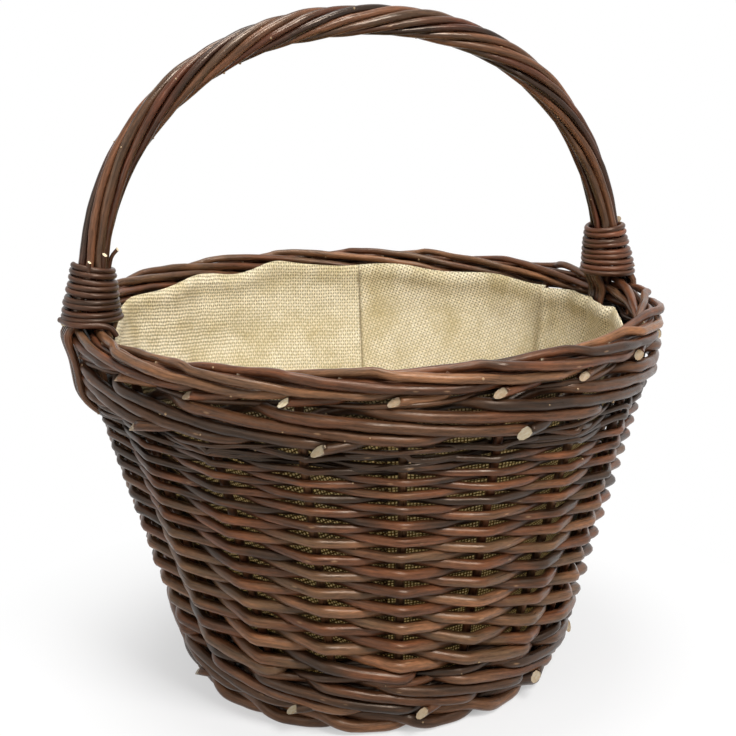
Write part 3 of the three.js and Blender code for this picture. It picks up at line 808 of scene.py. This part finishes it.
def strand_leg(slot):
    """The thin end of a strand, from the bundle down under the lashing, on the right side of the basket."""
    outer = math.cos(slot) > 0
    points = []
    for height in LEG_HEIGHTS:
        opened = 1 - height / BUNDLE_START
        opened = opened * opened * (3 - 2 * opened)
        foot = math.copysign(FOOT_SPREAD, math.cos(slot))
        spread = BUNDLE_R * math.cos(slot) * (1 - opened) + foot * opened
        points.append((spread - arch(arch_at(height))[0], BODY_HEIGHT + height))
    if outer:
        low_wale = TOP_WALE_MID - 2 * TOP_WALE_R
        points += [
            (HANDLE_REACH + FOOT_SPREAD + 1, LEG_LIFT),
            (RIM_RADIUS + OUTER_LEG, BORDER_TOP),
            (stake_circle(BORDER_FOOT) + OUTER_LEG, BORDER_FOOT),
            (stake_circle(low_wale) + leg_past(TOP_WALE_R) - WALE_PRESS, low_wale),
            (stake_circle(OUTER_TUCK) + leg_past(TIP_R) - TUCK_PRESS, OUTER_TUCK),
            (stake_circle(OUTER_END) - TUCK_PRESS, OUTER_END),
        ]
    else:
        points.append((HANDLE_REACH - FOOT_SPREAD, LEG_LIFT))
        points += [(stake_circle(level) - INNER_LEG, level) for level in INNER_LEVELS]
    return [np.array([reach, LEG_SPREAD * math.sin(slot), z]) for reach, z in points]


def strand_rod(strand):
    slot = 2 * math.pi * (strand + 0.5) / STRANDS
    start = arch_at(BUNDLE_START)
    bundle = []
    for share in np.linspace(0, 1, STRAND_STEPS + 1):
        wound = STRAND_TURNS * (2 * math.pi * share - TWIST_EASE * math.sin(2 * math.pi * share))
        bundle.append(beside_arch(start + (math.pi - 2 * start) * share, BUNDLE_R, slot + wound))
    right = strand_leg(slot)
    left = [point * [-1, 1, 1] for point in reversed(right)]
    full = STRAND_R * chance.uniform(0.88, 1.08)
    taper = list(np.linspace(full, LEG_R, len(right)))
    return rod(left + bundle + right, taper[::-1] + [full] * len(bundle) + taper)


for strand in range(STRANDS):
    name = f"handle_strand_{strand + 1}"
    willow(f"{name}_rod", [strand_rod(strand)], handle_bark, name, wander=0.5, buds=500)


# Lashings: a thin rod wound nine times round each foot of the handle above the border, wider at the bottom
# where the strands spread. At the left foot its end hangs loose, and three cut ends stand out above it.
LASHING_R = 1.98
LASHING_TURNS = 9
LASHING_PITCH = 3.9
LASHING_OUT = 4.5
LASHING_STRAY = 0.5
LASHING_RIDE = 0.7
LOOP_STEPS = 24
LOOSE_END = [
    (-20, 3, 263), (-16, -10, 262.4), (-9, -17.5, 262), (2, -20, 261.4), (8, -20.5, 259), (11, -21, 254),
]
LOOSE_END_R = 1.9
TUCKED_ENDS = [
    ([(7, -8, 288), (8, -9.5, 298), (9, -10.5, 304)], 1.6),
    ([(12, -2, 292), (14, -3.5, 301), (18, -5, 306)], 1.2),
    ([(-2, -12, 290), (-1.5, -12.3, 297), (-1, -12.6, 300.5)], 1.2),
]
TUCKED_TONE = 0.3
TUCKED_CUT = (0.3, -0.4, 0)
LASHING_SHADES = [(0.0, (46, 29, 19)), (0.5, (78, 48, 33)), (1.0, (116, 68, 46))]


def lashing_points():
    """The turns round the left foot, each a little uneven."""
    foot = math.hypot(FOOT_SPREAD, LEG_SPREAD * math.cos(math.pi / STRANDS))
    points = []
    for i in range(LASHING_TURNS * LOOP_STEPS + 1):
        height = LASHING_START + LASHING_PITCH * i / LOOP_STEPS
        strands = foot + (BUNDLE_R - foot) * height / BUNDLE_START
        radius = strands + LASHING_OUT + LASHING_STRAY * math.sin(i * 0.291)
        point = beside_arch(arch_at(height), radius, 2 * math.pi * i / LOOP_STEPS)
        ride = LASHING_RIDE * math.sin(i * 0.113) * math.sin(math.pi * height / BUNDLE_START)
        points.append(point + [0, 0, ride])
    return np.array(points)


def at_left_foot(points):
    """Points given from the middle of the handle's left foot."""
    return np.array([(x - HANDLE_REACH, y, z) for x, y, z in points])


lashing_bark = bark("lashing_bark", LASHING_SHADES, 0.34)
for side, turn, tone in (("left", (1, 1, 1), 0.25), ("right", (-1, -1, 1), 0.6)):
    rods = [rod(lashing_points() * turn, LASHING_R, tone)]
    if side == "left":
        for points, radius in TUCKED_ENDS:
            rods.append(rod(at_left_foot(points), radius, TUCKED_TONE, cut=TUCKED_CUT))
        rods.append(rod(at_left_foot(LOOSE_END), LOOSE_END_R, tone))
    name = f"lashing_{side}"
    willow(f"{name}_rod", rods, lashing_bark, name, step=2, wander=0.25, buds=100)


# Lining: two hessian panels sewn together at two seams and hung inside the wall in soft folds, with a turned
# hem under the border. Coarse plain weave of undyed jute, about 2 mm from thread to thread.
CLOTH = 0.8
CLOSING_REACH = 0.25
WARP_PITCH = 2.1
WEFT_PITCH = 2.57
THREAD_WAVER = 2.2
WEAVE_RELIEF = 0.6
STAIN_SHADE = (212, 202, 166)
STITCH_AND_PAINTED_SHADE = (120, 96, 58)
PANEL_COLUMNS = 180
PANEL_ROWS = 60
LINING_BOTTOM = 30.5
LINING_TUCK = 4
LINING_OUT = 14.5
LINING_HANG = ([LINING_BOTTOM, 120, BODY_HEIGHT], [LINING_OUT, 13.2, 11.3])
LEGS_FROM = 0.93
LEGS_OVER = 0.05
FOLDS_PER_PANEL = 5
FOLD_DEPTH = 4
FOLDS_UNEVEN = 0.03
CREASES = [(17, 1, 40, 1), (29, -1, 26, 0.6)]
CREASE_DEPTH = 0.6
PINCH_FROM = 0.9
PINCH_HEIGHT = 70
SEAM_ANGLE = math.radians(72.4)
SEAM_RIDGE = 1.2
SEAM_WIDTH = 7
SEAM_FLAT = 15
STITCH_WIDTH = 2
HEM_LOW = 244
HEM_WIDTH = 9
HEM_TURNED = 30
HEM_RIDGE = 0.8
HEM_EDGE = 1.5
HEM_SHADE = 0.3
HEM_PUSHED = 10.5
HEM_PUSHED_AT = math.radians(112)
HEM_CROWDED = [(3.5, 95, 5), (-2, 107, 5)]
HEM_WAVE = 1.2
HEM_WAVES = 13
HEM_ROLL = 3.2
HEM_ROLL_BELOW = (7, 6)
PLEAT = 17.6
PLEAT_DEPTH = 9
PLEAT_RUN = 11
PLEAT_EDGE = 1.6
PLEAT_BEHIND = 3
PLEAT_BEHIND_RUN = 6
PLEAT_HEIGHT = 90
PLEAT_PAINTED_SHADE = 0.35
PLEAT_SHADE_RUN = 5
DENT_DEPTH = 2.5
DENT_AT = (108, 8)
DENT_HEIGHT = (200, 17)


def hessian_weave(name, jute, through_gap_painted, golden, passed, brightest, tightness, shut_hem):
    """Plain weave on the cloth's own flat millimetres: threads over and under, and open between them."""
    material = bpy.data.materials.new(name)
    material.use_nodes = True
    tree = material.node_tree
    cloth = tree.nodes["Principled BSDF"]
    flat = add_node(tree, "ShaderNodeAttribute", attribute_name="flat").outputs["Vector"]
    slub = add_node(tree, "ShaderNodeTexNoise", {"Vector": flat, "Scale": 90, "Detail": 2}).outputs
    waver = vector_math(tree, "SCALE", slub["Color"], scale=THREAD_WAVER * MM)
    counted = (math.pi / (WARP_PITCH * MM), math.pi / (WEFT_PITCH * MM), 0)
    threads = vector_math(tree, "MULTIPLY", vector_math(tree, "ADD", flat, waver), counted)
    split = add_node(tree, "ShaderNodeSeparateXYZ", {0: threads}).outputs
    swing = [math_node(tree, "SINE", split[axis]) for axis in "XY"]
    uneven = [noise_at(tree, flat, scale, 2) for scale in ((450, 45, 1), (45, 450, 1))]
    bodies = []
    for wave, thick in zip(swing, uneven):
        round_thread = math_node(tree, "MULTIPLY", wave, wave)
        bodies.append(math_node(tree, "ADD", round_thread, map_range(tree, thick, 0.25, 0.75, -0.25, 0.25)))
    over = math_node(tree, "MULTIPLY", swing[0], swing[1])
    warp = math_node(tree, "MULTIPLY", bodies[0], map_range(tree, over, -1, 1, 0.4, 1))
    weft = math_node(tree, "MULTIPLY", bodies[1], map_range(tree, over, -1, 1, 1, 0.4))
    height = math_node(tree, "MAXIMUM", warp, weft)
    covered = math_node(tree, "MAXIMUM", bodies[0], bodies[1])
    opening = map_range(tree, covered, tightness, tightness + 0.34, 1, 0)

    fibres = [noise_at(tree, flat, scale, 2) for scale in ((2600, 200, 1), (200, 2600, 1))]
    fibre = math_node(tree, "MULTIPLY", math_node(tree, "ADD", *fibres), 0.6)
    mottle = math_node(tree, "MULTIPLY_ADD", slub["Fac"], 0.25, fibre)
    colour = colour_ramp(tree, map_range(tree, mottle, 0.55, 1.0, 0, 1), list(zip((0.0, 0.5, 1.0), jute)))
    # Painted shade and light: threads are darker where they sink between others, and crossings with the warp
    # on top are lighter than those with the weft on top.
    colour = multiplied(tree, colour, map_range(tree, height, 0.1, 0.7, 0.85, 1))
    colour = multiplied(tree, colour, map_range(tree, over, -0.7, 0.7, 0.86, 1.06))
    stain = map_range(tree, noise_at(tree, flat, (22, 30, 1), 4), 0.42, 0.68, 0, 0.65)
    colour = mix_colour(tree, stain, colour, multiplied(tree, colour, linear(STAIN_SHADE)))
    seam, doubled = (
        add_node(tree, "ShaderNodeAttribute", attribute_name=mark).outputs["Fac"]
        for mark in ("seam", "doubled")
    )
    # The seam mark darkens the stitched seams and adds painted shade beside the pleat.
    colour = mix_colour(tree, math_node(tree, "MULTIPLY", seam, 0.4), colour, linear(STITCH_AND_PAINTED_SHADE))
    # Painted light and shade in the openings: dark on the inside face for the shade behind the cloth, pale
    # gold on the outside face for light coming through from inside.
    colour = mix_colour(tree, math_node(tree, "MULTIPLY", opening, 0.96), colour, linear(through_gap_painted))
    tree.links.new(colour, cloth.inputs["Base Color"])
    cloth.inputs["Roughness"].default_value = 0.9
    cloth.inputs["Specular IOR Level"].default_value = 0.1
    cloth.inputs["Sheen Weight"].default_value = 0.1
    relief = {"Height": height, "Strength": 0.3, "Distance": WEAVE_RELIEF * MM}
    bump = node_result(tree, "ShaderNodeBump", relief)
    tree.links.new(bump, cloth.inputs["Normal"])

    through = node_result(tree, "ShaderNodeBsdfTranslucent", {"Color": linear(golden), "Normal": bump})
    shut = math_node(tree, "MULTIPLY", doubled, shut_hem)
    clear = math_node(tree, "MULTIPLY", opening, math_node(tree, "SUBTRACT", 1.0, shut))
    share = map_range(tree, clear, 0, 1, passed, brightest)
    both = node_result(tree, "ShaderNodeMixShader", {0: share, 1: cloth.outputs[0], 2: through})
    tree.links.new(both, tree.nodes["Material Output"].inputs["Surface"])
    return material


def cloth_piece(name, grid, flat, marks, faces, node):
    """A sheet of hessian from rows of points, with their places on the flat cloth and marks such as seams."""
    rows, columns = grid.shape[:2]
    mesh = bpy.data.meshes.new(name)
    index = np.arange(rows * columns).reshape(rows, columns)
    quads = np.stack([index[:-1, :-1], index[:-1, 1:], index[1:, 1:], index[1:, :-1]], -1).reshape(-1, 4)
    mesh.from_pydata(grid.reshape(-1, 3) * MM, [], quads.tolist())
    unrolled = mesh.attributes.new("flat", "FLOAT_VECTOR", "POINT").data
    unrolled.foreach_set("vector", (flat.reshape(-1, 3) * MM).ravel())
    for mark, values in marks.items():
        mesh.attributes.new(mark, "FLOAT", "POINT").data.foreach_set("value", values.ravel())
    mesh.polygons.foreach_set("use_smooth", [True] * len(mesh.polygons))
    for face in faces:
        mesh.materials.append(face)
    piece = bpy.data.objects.new(name, mesh)
    bpy.context.scene.collection.objects.link(piece)
    closing = piece.modifiers.new("closing", "WELD")
    closing.merge_threshold = CLOSING_REACH * MM
    wall = piece.modifiers.new("thickness", "SOLIDIFY")
    wall.thickness = CLOTH * MM
    wall.offset = -1
    wall.material_offset = 1
    wall.material_offset_rim = 1
    plain_mesh(piece)
    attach(piece, "root")
    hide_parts(node)
    return piece


def ripple(angle, z, seed):
    """Small creases, deeper towards the hem, that only ever stand in from the wall."""
    phase = 1.7 * seed
    fine = sum(
        share * math.sin(waves * angle + way * phase + z / rise) for waves, way, rise, share in CREASES
    )
    at_legs = max(0, abs(math.cos(angle)) - PINCH_FROM) / (1 - PINCH_FROM)
    pinch = at_legs * max(0, 1 - (BODY_HEIGHT - z) / PINCH_HEIGHT)
    return CREASE_DEPTH * (1.6 + fine) + pinch * (1 + math.sin(52 * angle + phase + z / 9))


def bump_at(value, middle, width):
    return math.exp(-((value - middle) / width) ** 2)


def hem_height(angle):
    """The hem hangs low round the front and right, and is pushed up where the cloth is crowded."""
    degrees = math.degrees(angle) % 360
    pushed = HEM_PUSHED * max(0, math.cos(angle - HEM_PUSHED_AT)) ** 1.5
    crowded = sum(rise * bump_at(degrees, place, width) for rise, place, width in HEM_CROWDED)
    return HEM_LOW + pushed + crowded + HEM_WAVE * math.sin(HEM_WAVES * angle)


def big_fold(angle, z, hem):
    """How far the cloth stands in: rolled under the hem, pleated at one place and dented at another."""
    degrees = math.degrees(angle) % 360
    rolled = HEM_ROLL * bump_at(hem - z, *HEM_ROLL_BELOW) * (0.6 + 0.4 * math.sin(6 * angle + 2.2))
    past_pleat = PLEAT - degrees
    if past_pleat > 0:
        pleat = PLEAT_DEPTH * math.exp(-past_pleat / PLEAT_RUN) * np.clip(past_pleat / PLEAT_EDGE, 0, 1)
    else:
        pleat = -PLEAT_BEHIND * math.exp(past_pleat / PLEAT_BEHIND_RUN)
    dent = -DENT_DEPTH * bump_at(degrees, *DENT_AT) * bump_at(z, *DENT_HEIGHT)
    return rolled + pleat * bump_at(hem - z, 0, PLEAT_HEIGHT) + dent


def lining_panel(seam, front, curl, grain_turn, seed, lap):
    """A panel as rows of points, and their places on the flat cloth. The lap goes behind the other panel."""
    slope = math.atan2(SHOULDER_RADIUS - FLOOR_RADIUS, SHOULDER)
    bottom = LINING_BOTTOM - LINING_TUCK
    grid = np.zeros((PANEL_ROWS + 1, PANEL_COLUMNS + 1, 3))
    flat = np.zeros_like(grid)
    stitches_and_shade = np.zeros(grid.shape[:2])
    doubled = np.zeros(grid.shape[:2])
    for column in range(PANEL_COLUMNS + 1):
        share = column / PANEL_COLUMNS
        angle = seam - lap / RIM_RADIUS + (math.pi + 2 * lap / RIM_RADIUS) * share
        hem = hem_height(angle)
        uneven = share + FOLDS_UNEVEN * math.sin(4 * math.pi * share + seed)
        fold = FOLD_DEPTH * (1 - math.cos(2 * math.pi * FOLDS_PER_PANEL * uneven)) / 2
        to_seam = RIM_RADIUS * min(angle - seam, seam + math.pi - angle)
        if lap == 0:
            turned_edge = SEAM_RIDGE * np.clip(1 - to_seam / SEAM_WIDTH, 0, 1)
        else:
            turned_edge = -SEAM_RIDGE * (to_seam < 0)
        past_legs = np.clip((abs(math.cos(angle)) - LEGS_FROM) / LEGS_OVER, 0, 1)
        for row in range(PANEL_ROWS + 1):
            drape = row / PANEL_ROWS
            z = bottom + (hem - bottom) * drape
            crease = ripple(angle, z, seed) * drape * np.clip(to_seam / SEAM_FLAT, 0, 1)
            turned_hem = HEM_RIDGE * np.clip((z - hem + HEM_WIDTH) / HEM_EDGE, 0, 1)
            inward = fold * drape + crease + turned_edge + turned_hem + big_fold(angle, z, hem)
            hung = max(np.interp(z, *LINING_HANG), LINING_OUT * past_legs)
            grid[row, column] = polar(stake_circle(z) - hung - inward, angle, z)
            reach = RIM_RADIUS / curl - (BODY_HEIGHT - z) / math.cos(slope)
            turn = (angle - front) * curl + grain_turn
            flat[row, column] = reach * math.sin(turn), reach * math.cos(turn), 0
            doubled[row, column] = np.clip((z - hem + HEM_TURNED) / 2, 0, 1)
        # Painted shade: the seam mark also darkens the cloth beside the pleat, where the fold would shade it;
        # the hem's top row is darkened a little too.
        past_pleat = math.degrees(angle) % 360 - PLEAT
        pleat_painted_shade = PLEAT_PAINTED_SHADE * math.exp(-past_pleat / PLEAT_SHADE_RUN) if past_pleat > 0 else 0
        stitches_and_shade[:, column] = max(np.clip(1 - to_seam / STITCH_WIDTH, 0, 1), pleat_painted_shade)
    stitches_and_shade[-1] = HEM_SHADE
    return grid, flat, {"seam": stitches_and_shade, "doubled": doubled}


hessian_inside = hessian_weave(
    "hessian_inside", jute=[(222, 204, 161), (245, 232, 200), (254, 247, 226)], through_gap_painted=(46, 33, 14),
    golden=(255, 232, 176), passed=0.05, brightest=0.48, tightness=0.275, shut_hem=0.3)
# The outside face is a darker, shaded copy of the same jute, in painted shade, and its openings are painted
# pale gold as light coming through.
hessian_outside_painted_shade = hessian_weave(
    "hessian_outside_painted_shade", jute=[(70, 54, 28), (88, 68, 36), (104, 84, 50)], through_gap_painted=(250, 230, 178),
    golden=(255, 246, 222), passed=0.05, brightest=1.0, tightness=0.46, shut_hem=1.0)
front_seam = SEAM_ANGLE + math.pi
panels = [("left", SEAM_ANGLE, 0.12, 0.41, 1, 5), ("right", front_seam, 0.13, math.pi / 2, 2, 0)]
for side, seam, curl, grain_turn, seed, lap in panels:
    name = f"lining_{side}"
    grid, flat, marks = lining_panel(seam, front_seam, curl, grain_turn, seed, lap)
    panel = cloth_piece(f"{name}_cloth", grid, flat, marks, (hessian_outside_painted_shade, hessian_inside), name)


# Lining floor: a round of the same hessian, laid on the base weave. Its edge lies inside the lower edge of
# the panels.
FLOOR_CLOTH_RADIUS = 110
FLOOR_CLOTH_MIDDLE = 0.1
FLOOR_CLOTH_RINGS = 30
FLOOR_CLOTH_TURNS = 97
rings = np.linspace(FLOOR_CLOTH_MIDDLE, FLOOR_CLOTH_RADIUS, FLOOR_CLOTH_RINGS)
turns = np.linspace(0, 2 * math.pi, FLOOR_CLOTH_TURNS)
floor_level = LINING_BOTTOM + CLOTH
floor_grid = np.array([[polar(radius, -turn, floor_level) for turn in turns] for radius in rings])
floor_cloth = cloth_piece("lining_floor_cloth", floor_grid, floor_grid * [1, 1, 0], {},
                          (hessian_inside, hessian_outside_painted_shade), "lining_floor")


# Studio: a pale floor that runs out to white and keeps a soft shadow, a broad lamp above the front, one
# straight above, a fill from the left, and a dim room all round. Sizes here are in metres.
FLOOR_HALF = 4
UNDER_BASKET = (0.1, 0.122)
SHADOW_REACH = (0.12, 0.32)
SHADOW_WHITE = 0.55
ROOM_LIGHT = 0.09
WHITE = (1, 1, 1, 1)
PALE = (0.9, 0.9, 0.9, 1)
LAMP_AIM = Vector((0, 0, 0.2))


def lamp(name, place, size, power):
    light = bpy.data.lights.new(name, "AREA")
    light.shape = "DISK"
    light.size = size
    light.energy = power
    holder = bpy.data.objects.new(name, light)
    holder.location = place
    holder.rotation_euler = (LAMP_AIM - Vector(place)).to_track_quat("-Z", "Y").to_euler()
    bpy.context.scene.collection.objects.link(holder)


def shows_white(tree):
    """1 for the rays that see the white ground: straight, through the cloth or in a gloss."""
    rays = add_node(tree, "ShaderNodeLightPath").outputs
    seen = math_node(tree, "MAXIMUM", rays["Is Camera Ray"], rays["Is Transmission Ray"])
    return math_node(tree, "MAXIMUM", seen, rays["Is Glossy Ray"])


lamp("key_lamp", (0.3, -1.5, 1.65), 0.8, 44)
lamp("top_lamp", (-0.1, 0.0, 2.3), 1.1, 37)
lamp("fill_lamp", (-1.7, -1.0, 0.9), 1.2, 6)

world = bpy.data.worlds.new("studio")
world.use_nodes = True
bpy.context.scene.world = world
sky = world.node_tree
room = sky.nodes["Background"]
room.inputs["Color"].default_value = WHITE
room.inputs["Strength"].default_value = ROOM_LIGHT
paper = node_result(sky, "ShaderNodeBackground", {"Color": WHITE, "Strength": 1.0})
both = node_result(sky, "ShaderNodeMixShader", {0: shows_white(sky), 1: room.outputs[0], 2: paper})
sky.links.new(both, sky.nodes["World Output"].inputs["Surface"])

floor_mesh = bpy.data.meshes.new("floor")
corners = [(x * FLOOR_HALF, y * FLOOR_HALF, 0) for x, y in ((-1, -1), (1, -1), (1, 1), (-1, 1))]
floor_mesh.from_pydata(corners, [], [(0, 1, 2, 3)])
floor = bpy.data.objects.new("floor", floor_mesh)
bpy.context.scene.collection.objects.link(floor)
paint = bpy.data.materials.new("floor_paint")
paint.use_nodes = True
floor_mesh.materials.append(paint)
floor_tree = paint.node_tree
matt = floor_tree.nodes["Principled BSDF"]
matt.inputs["Base Color"].default_value = PALE
matt.inputs["Roughness"].default_value = 0.9
matt.inputs["Specular IOR Level"].default_value = 0
white = node_result(floor_tree, "ShaderNodeEmission", {"Color": WHITE, "Strength": 1.0})
spot = add_node(floor_tree, "ShaderNodeTexCoord").outputs["Object"]
away = vector_math(floor_tree, "LENGTH", spot)
outside = map_range(floor_tree, away, *UNDER_BASKET, 0, 1)
fading = map_range(floor_tree, away, *SHADOW_REACH, SHADOW_WHITE, 1)
edge = math_node(floor_tree, "MULTIPLY", outside, fading)
paper_white = math_node(floor_tree, "MULTIPLY", edge, shows_white(floor_tree))
ground = node_result(floor_tree, "ShaderNodeMixShader", {0: paper_white, 1: matt.outputs[0], 2: white})
floor_tree.links.new(ground, floor_tree.nodes["Material Output"].inputs["Surface"])


# Camera: at the photograph's place, nearly a metre away and a little below the top of the handle, with its
# slight tilt. The picture's width and the focal length are in its own points.
CAMERA_PLACE = Vector((-0.3051, -0.8664, 0.4444))
CAMERA_AIM = Vector((0, 0, 0.2095))
CAMERA_ROLL = math.radians(-1.6)
PICTURE_WIDTH = 736
FOCAL_LENGTH = 1381.5
forward = (CAMERA_AIM - CAMERA_PLACE).normalized()
level = forward.cross(Vector((0, 0, 1))).normalized()
upright = level.cross(forward)
right = level * math.cos(CAMERA_ROLL) + upright * math.sin(CAMERA_ROLL)
above = right.cross(forward)
camera_data = bpy.data.cameras.new("camera")
camera_data.angle = 2 * math.atan(PICTURE_WIDTH / 2 / FOCAL_LENGTH)
camera_data.clip_start = 0.01
camera = bpy.data.objects.new("camera", camera_data)
camera.matrix_world = Matrix((
    (right.x, above.x, -forward.x, CAMERA_PLACE.x),
    (right.y, above.y, -forward.y, CAMERA_PLACE.y),
    (right.z, above.z, -forward.z, CAMERA_PLACE.z),
    (0, 0, 0, 1),
))
bpy.context.scene.collection.objects.link(camera)
bpy.context.scene.camera = camera
bpy.context.scene.view_settings.view_transform = "Standard"
